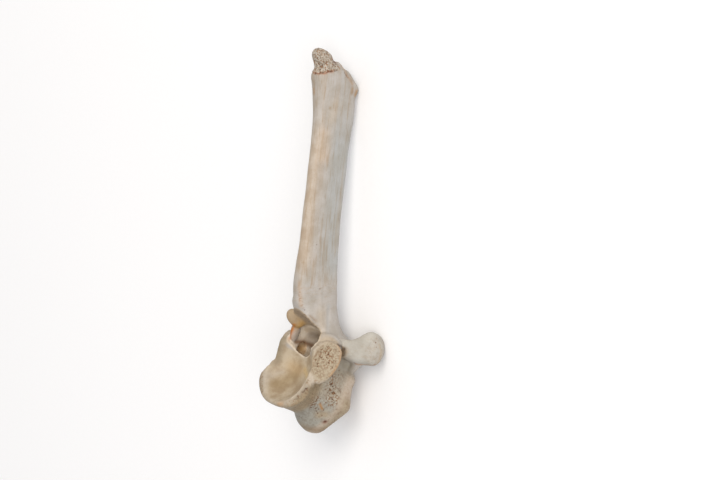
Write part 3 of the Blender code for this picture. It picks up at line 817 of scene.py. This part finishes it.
def carve_marks(piece):
    """Sinks the sutures, lines and vessel holes in the surface and stores its colours and kinds there."""
    points, normals = surface_arrays(piece)
    kinds, suture = kind_weights(points)
    light, dark = np.zeros((len(points), 3)), np.zeros((len(points), 3))
    fine = np.zeros(len(points))
    for kind, (light_code, dark_code, fine_share) in KINDS.items():
        share = kinds[kind][:, None]
        light += share * (np.array(colour(light_code)[:3]) - light)
        dark += share * (np.array(colour(dark_code)[:3]) - dark)
        fine += kinds[kind] * (fine_share - fine)
    # a stain or a strip of painted shade is mottled too, a little to both sides of its colour
    for path, width, strength, code in STAINS_AND_PAINTED_SHADE:
        tint = np.array(colour(code)[:3])
        share = (strength * near_path(points, path, width))[:, None]
        light += share * (1.08 * tint - light)
        dark += share * (0.9 * tint - dark)

    sink = np.zeros(len(points))
    # hollow is painted shade in the grooves and vessel holes, and the suture's own dark line
    hollow = np.zeros(len(points))
    for path, width, height, darkness in LINES:
        away, place = path_distance(points, path)
        bell = np.exp(-(away / width) ** 2) * ramp(place, 0, 0.12) * (1 - ramp(place, 0.88, 1))
        sink -= height * bell
        hollow = np.maximum(hollow, darkness * bell)
    for place, radius, depth in VESSEL_HOLES:
        bell = near_path(points, (place,), radius)
        sink += depth * bell
        hollow = np.maximum(hollow, bell * min(1.0, depth + 0.3))
    # the suture opens and closes a little along its way
    wander = 0.8 + 0.2 * np.sin(points[:, 1] * 1.9 + points[:, 2] * 0.8)
    sink += 0.7 * suture * wander
    hollow = np.maximum(hollow, 0.9 * suture * wander)
    piece.data.vertices.foreach_set("co", ((points - normals * sink[:, None]) * MM).ravel())
    piece.data.update()

    # the grain's own place: its last number runs along the fibres, shrunk so that the streaks are long
    along, offset = spine_places(points)
    on_spine = ramp(along, -8, 10)[:, None]
    on_wing = kinds["wing"][:, None] * (1 - on_spine)
    grain = np.column_stack([points[:, 0], points[:, 2], points[:, 1] / 4])
    grain += on_wing * (np.column_stack([points[:, 2], points[:, 1], points[:, 0] / 8]) - grain)
    grain += on_spine * (np.column_stack([offset, points[:, 0], along / GRAIN_STRETCH]) - grain)
    fibrous = np.clip(on_spine[:, 0] + 0.5 * on_wing[:, 0], 0, 1) * (1 - kinds["cap"])
    for name, values in (
        ("bone_place", points), ("grain_place", grain), ("light_tone", light), ("dark_tone", dark),
        ("fine_share", fine), ("fibrous", fibrous), ("porous", pore_share(points, kinds)),
        ("hollow", hollow),
    ):
        keep_value(piece, name, values)


def add(tree, kind, sockets=None, **settings):
    """Adds a node. settings are its own properties, and sockets are its inputs.

    An input is given a value, a colour as a hex code, an output of another node, or another node, whose
    first output is then linked.
    """
    made = tree.nodes.new(kind)
    for name, value in settings.items():
        setattr(made, name, value)
    for name, value in (sockets or {}).items():
        if isinstance(value, bpy.types.Node):
            value = value.outputs[0]
        if isinstance(value, bpy.types.NodeSocket):
            tree.links.new(value, made.inputs[name])
        elif isinstance(value, str) and value.startswith("#"):
            made.inputs[name].default_value = colour(value)
        else:
            made.inputs[name].default_value = value
    return made


def pores(tree, place, share, spacing):
    """Round pits of uneven size, spacing millimetres apart, open where share lets them be: 0 to 1."""
    bend = add(tree, "ShaderNodeTexNoise", {"Vector": place, "Scale": 0.6, "Detail": 1.0}).outputs["Color"]
    bend = add(tree, "ShaderNodeVectorMath", {0: bend, "Scale": 1.2}, operation="SCALE")
    place = add(tree, "ShaderNodeVectorMath", {0: place, 1: bend}, operation="ADD")
    place = add(tree, "ShaderNodeVectorMath", {0: place, 1: (1, 1, 0.7)}, operation="MULTIPLY")
    scale = add(tree, "ShaderNodeMath", {0: 1.0, 1: spacing}, operation="DIVIDE")
    cells = add(tree, "ShaderNodeTexVoronoi", {"Vector": place, "Scale": scale, "Randomness": 1.0}).outputs
    chance, lot, _ = add(tree, "ShaderNodeSeparateXYZ", {"Vector": cells["Color"]}).outputs
    reach = add(tree, "ShaderNodeMapRange", {0: lot, 1: 0.0, 2: 1.0, 3: 0.22, 4: 0.46})
    near = add(tree, "ShaderNodeMath", {0: cells["Distance"], 1: reach}, operation="DIVIDE")
    pit = add(tree, "ShaderNodeMapRange", {0: near, 1: 0.35, 2: 1.0, 3: 1.0, 4: 0.0},
              interpolation_type="SMOOTHSTEP")
    is_open = add(tree, "ShaderNodeMath", {0: chance, 1: share}, operation="LESS_THAN")
    return add(tree, "ShaderNodeMath", {0: pit, 1: is_open}, operation="MULTIPLY")


def relief_tree():
    """Pores, roughness, fibres and unevenness, sunk along the surface's normals.

    The inputs are in millimetres of the real bone. The fibres are about 1 mm wide.
    """
    tree = bpy.data.node_groups.new("bone_relief", "GeometryNodeTree")
    face = tree.interface
    face.new_socket("Geometry", in_out="INPUT", socket_type="NodeSocketGeometry")
    for name, default in (("Pore Spacing", PORE_SPACING), ("Pore Depth", 0.4), ("Rough Depth", 0.55),
                          ("Grain Depth", 0.14), ("Uneven Depth", 0.6), ("Uneven Size", 14.0)):
        face.new_socket(name, in_out="INPUT", socket_type="NodeSocketFloat").default_value = default
    face.new_socket("Material", in_out="INPUT", socket_type="NodeSocketMaterial")
    face.new_socket("Geometry", in_out="OUTPUT", socket_type="NodeSocketGeometry")
    inputs = add(tree, "NodeGroupInput").outputs
    place, grain, porous, fibrous = (
        add(tree, "GeometryNodeInputNamedAttribute", {"Name": name}, data_type=kind) for name, kind in (
            ("bone_place", "FLOAT_VECTOR"), ("grain_place", "FLOAT_VECTOR"), ("porous", "FLOAT"),
            ("fibrous", "FLOAT")))

    pit = pores(tree, place, porous, inputs["Pore Spacing"])
    shift = add(tree, "ShaderNodeMath", {0: pit, 1: inputs["Pore Depth"]}, operation="MULTIPLY")
    shift = add(tree, "ShaderNodeMath", {0: 0.0, 1: shift}, operation="SUBTRACT")
    rough_scale = add(tree, "ShaderNodeMath", {0: 1.0, 1: inputs["Pore Spacing"]}, operation="DIVIDE")
    uneven_scale = add(tree, "ShaderNodeMath", {0: 1.0, 1: inputs["Uneven Size"]}, operation="DIVIDE")
    # where the pattern lies, its scale and detail, how much of it there is, and its depth
    for vector, scale, detail, share, depth in (
        (place, rough_scale, 3.0, porous, "Rough Depth"),
        (grain, 1.0, 2.0, fibrous, "Grain Depth"),
        (place, uneven_scale, 2.0, 1.0, "Uneven Depth"),
    ):
        swing = add(tree, "ShaderNodeTexNoise", {"Vector": vector, "Scale": scale, "Detail": detail})
        swing = add(tree, "ShaderNodeMath", {0: swing, 1: 0.5}, operation="SUBTRACT")
        swing = add(tree, "ShaderNodeMath", {0: swing, 1: share}, operation="MULTIPLY")
        shift = add(tree, "ShaderNodeMath", {0: swing, 1: inputs[depth], 2: shift}, operation="MULTIPLY_ADD")

    shift = add(tree, "ShaderNodeMath", {0: shift, 1: MM}, operation="MULTIPLY")
    normal = add(tree, "GeometryNodeInputNormal")
    offset = add(tree, "ShaderNodeVectorMath", {0: normal, "Scale": shift}, operation="SCALE")
    moved = add(tree, "GeometryNodeSetPosition", {"Geometry": inputs["Geometry"], "Offset": offset})
    whole = add(tree, "GeometryNodeRealizeInstances", {"Geometry": moved})
    finished = add(tree, "GeometryNodeSetMaterial", {"Geometry": whole, "Material": inputs["Material"]})
    add(tree, "NodeGroupOutput", {"Geometry": finished})
    return tree


def new_material(name):
    """A new material, with its tree of nodes and its shader."""
    material = bpy.data.materials.new(name)
    material.use_nodes = True
    return material, material.node_tree, material.node_tree.nodes["Principled BSDF"]


def weathered_bone():
    """Old elk bone, cleaned and bleached outdoors.

    The dense outer layer is cream with faint warm streaks along its fibres and a dull, slightly waxy
    sheen. Where gristle sat it is tan. The spine's warmer caudal edge is partly painted warm light, the
    grey of the body's underside and of the spine's flat side is partly painted shade, the olive grey under
    the wing's root is painted shade, and the canal's inside is painted paler as painted light. Spongy bone
    shows as brown pores, darkened inside with painted shade.
    """
    material, tree, shader = new_material("weathered_bone")
    place, grain, light, dark, fine_share, fibrous, porous, hollow = (
        add(tree, "ShaderNodeAttribute", attribute_name=name).outputs[kind] for name, kind in (
            ("bone_place", "Vector"), ("grain_place", "Vector"), ("light_tone", "Color"),
            ("dark_tone", "Color"), ("fine_share", "Fac"), ("fibrous", "Fac"), ("porous", "Fac"),
            ("hollow", "Fac")))

    # the patterns: where each lies, the size of its spots in millimetres, detail and roughness
    patches, specks, thin_streaks, broad_streaks, worms = (
        add(tree, "ShaderNodeTexNoise", {"Vector": vector, "Scale": 1 / size, "Detail": detail,
                                         "Roughness": roughness})
        for vector, size, detail, roughness in (
            (place, 8.0, 4.0, 0.6), (place, 1.5, 4.0, 0.7), (grain, 1.1, 3.0, 0.6),
            (grain, 4.5, 2.0, 0.55), (place, 1.3, 1.5, 0.55)))

    # the two tones of each kind of surface, mottled in large patches or in small specks
    mottle = add(tree, "ShaderNodeMix", {0: fine_share, 2: patches, 3: specks}, data_type="FLOAT")
    mottle = add(tree, "ShaderNodeMapRange", {0: mottle, 1: 0.38, 2: 0.62}, interpolation_type="SMOOTHSTEP")
    tone = add(tree, "ShaderNodeMix", {0: mottle, 6: dark, 7: light}, data_type="RGBA").outputs[2]
    in_pores = add(tree, "ShaderNodeMapRange", {0: porous, 1: 0.1, 2: 0.6}, interpolation_type="SMOOTHSTEP")
    pit = pores(tree, place, porous, PORE_SPACING)
    # the tints over them: pattern, where it starts and is full, its most, what limits it, its colour, and
    # how that is laid on
    for pattern, start, full, most, limit, tint, blend in (
        (broad_streaks, 0.45, 0.66, 0.60, fibrous, "#F8EDE0", "MULTIPLY"),
        (thin_streaks, 0.50, 0.72, 0.75, fibrous, "#E8DAC8", "MULTIPLY"),
        (specks, 0.52, 0.75, 0.50, 1.0, "#DDD0BE", "MULTIPLY"),
        (worms, 0.52, 0.60, 1.0, in_pores, "#CDA683", "MULTIPLY"),
        # painted shade: the pits are darkened
        (1.0, 0.0, 1.0, 0.85, pit, "#BE967A", "MULTIPLY"),
        # painted shade in the grooves and vessel holes, and the dark of the suture
        (hollow, 0.10, 0.85, 0.88, 1.0, "#5E3E28", "MIX"),
    ):
        share = add(tree, "ShaderNodeMapRange", {0: pattern, 1: start, 2: full, 4: most},
                    interpolation_type="SMOOTHSTEP")
        share = add(tree, "ShaderNodeMath", {0: share, 1: limit}, operation="MULTIPLY")
        tone = add(tree, "ShaderNodeMix", {0: share, 6: tone, 7: tint}, data_type="RGBA",
                   blend_type=blend).outputs[2]
    tree.links.new(tone, shader.inputs["Base Color"])

    sheen = add(tree, "ShaderNodeMapRange", {0: patches, 1: 0.3, 2: 0.7, 3: 0.54, 4: 0.68},
                interpolation_type="SMOOTHSTEP")
    tree.links.new(sheen.outputs[0], shader.inputs["Roughness"])
    height = add(tree, "ShaderNodeMath", {0: thin_streaks, 1: fibrous}, operation="MULTIPLY")
    speck_height = add(tree, "ShaderNodeMath", {0: fine_share, 1: 0.3}, operation="ADD")
    height = add(tree, "ShaderNodeMath", {0: specks, 1: speck_height, 2: height}, operation="MULTIPLY_ADD")
    height = add(tree, "ShaderNodeMath", {0: height, 1: pit}, operation="SUBTRACT")
    bump = add(tree, "ShaderNodeBump", {"Strength": 0.6, "Distance": 0.0004, "Height": height})
    tree.links.new(bump.outputs[0], shader.inputs["Normal"])
    shader.inputs["IOR"].default_value = 1.5
    return material


def pale_paper():
    """Matt, pale studio paper, which throws soft light back up under the bone."""
    material, tree, shader = new_material("pale_paper")
    place = add(tree, "ShaderNodeTexCoord").outputs["Object"]
    # fibres of 2.5 mm, coarser than real ones, so that they show
    fibres = add(tree, "ShaderNodeTexNoise", {"Vector": place, "Scale": 1 / 0.0025, "Detail": 3.0})
    tone = add(tree, "ShaderNodeMix", {0: fibres, 6: "#F2F1F0", 7: "#F5F4F3"}, data_type="RGBA")
    tree.links.new(tone.outputs[2], shader.inputs["Base Color"])
    shader.inputs["Roughness"].default_value = 0.9
    return material


def vertebra(material):
    """The whole bone in its own frame, fused, marked and with its relief."""
    pieces = [centrum(), cranial_head(), arch(), right_lip(), spine(), cap_step()]
    cutters = [canal(), cup(), worn_rim()]
    for side in (1, -1):
        pieces += [transverse_process(side), wing_web(side), costal_pad(side), pad_shoulder(side)]
        pieces += [pad_foot(side), wall_root(side), cranial_articular(side)]
        cutters += [nerve_hole(side), costal_hollow(side)]
    bone = join_pieces(pieces, cutters, [left_lip(), pedicle_crest()])
    bone.name = bone.data.name = "weathered_vertebra"
    remesh = bone.modifiers.new("fuse", "REMESH")
    remesh.mode = "VOXEL"
    remesh.voxel_size = FUSE_SIZE * MM
    soften = bone.modifiers.new("soften", "SMOOTH")
    soften.factor = 0.5
    soften.iterations = SMOOTH_ROUNDS
    apply_modifiers(bone)
    keep_largest_shell(bone)

    # finer facets where there are pores, the suture or a vessel's hole
    points, _ = surface_arrays(bone)
    kinds, suture = kind_weights(points)
    detail = 1.6 * pore_share(points, kinds) + 2 * suture
    for place, radius, _ in VESSEL_HOLES:
        detail += near_path(points, (place,), 2 * radius)
    split_finer(bone, detail)
    carve_marks(bone)

    relief = bone.modifiers.new("relief", "NODES")
    relief.node_group = relief_tree()
    sockets = {item.name: item.identifier for item in relief.node_group.interface.items_tree
               if item.in_out == "INPUT"}
    relief[sockets["Material"]] = material
    apply_modifiers(bone)
    bone.data.shade_smooth()
    return bone


def lay_down(bone):
    """Turns the bone to the way it rests: spine towards +X, right side to -Y, cranial side down."""
    cos, sin = math.cos(REST_TIP), math.sin(REST_TIP)
    turn = Matrix(((0, -sin, cos), (-1, 0, 0), (0, -cos, -sin)))
    bone.data.transform(Matrix.Translation(REST_PLACE) @ turn.to_4x4())
    bone.data.update()


def stage():
    """A wide pale floor, two soft lamps above the bone, pale light all round, and the camera."""
    scene = bpy.context.scene
    edge = [(FLOOR_REACH * math.cos(math.radians(angle)), FLOOR_REACH * math.sin(math.radians(angle)), 0)
            for angle in range(0, 360, 5)]
    mesh = bpy.data.meshes.new("floor")
    mesh.from_pydata(edge, [], [tuple(range(len(edge)))])
    mesh.materials.append(pale_paper())
    new_object("floor", mesh)

    world = bpy.data.worlds.new("studio")
    scene.world = world
    world.use_nodes = True
    sky = world.node_tree.nodes["Background"]
    sky.inputs["Color"].default_value = colour("#F8F9FB")
    sky.inputs["Strength"].default_value = 0.7

    # each lamp's direction from the bone, power in watts, width in metres and tint
    for name, direction, energy, size, tint in (
        ("key", (0.60, -0.45, 0.75), 62.0, 2.2, "#FFF9F2"),
        ("fill", (0.05, -0.85, 0.62), 52.0, 2.0, "#FBFBFF"),
    ):
        lamp = bpy.data.lights.new(name, "AREA")
        lamp.energy = energy
        lamp.size = size
        lamp.color = colour(tint)[:3]
        holder = new_object(name, lamp)
        direction = Vector(direction).normalized()
        holder.location = LAMP_AIM + direction * LAMP_DISTANCE
        holder.rotation_euler = (-direction).to_track_quat("-Z", "Y").to_euler()

    lens = bpy.data.cameras.new("camera")
    lens.lens = LENS_LENGTH
    lens.sensor_width = SENSOR_WIDTH
    camera = new_object("camera", lens)
    camera.location = CAMERA_PLACE
    camera.rotation_euler = [math.radians(turn) for turn in CAMERA_TURN]
    scene.camera = camera
    scene.view_settings.view_transform = "Standard"


def main():
    """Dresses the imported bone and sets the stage."""
    bone = vertebra(weathered_bone())
    lay_down(bone)
    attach(bone, "root")
    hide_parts("vertebra")
    stage()


main()
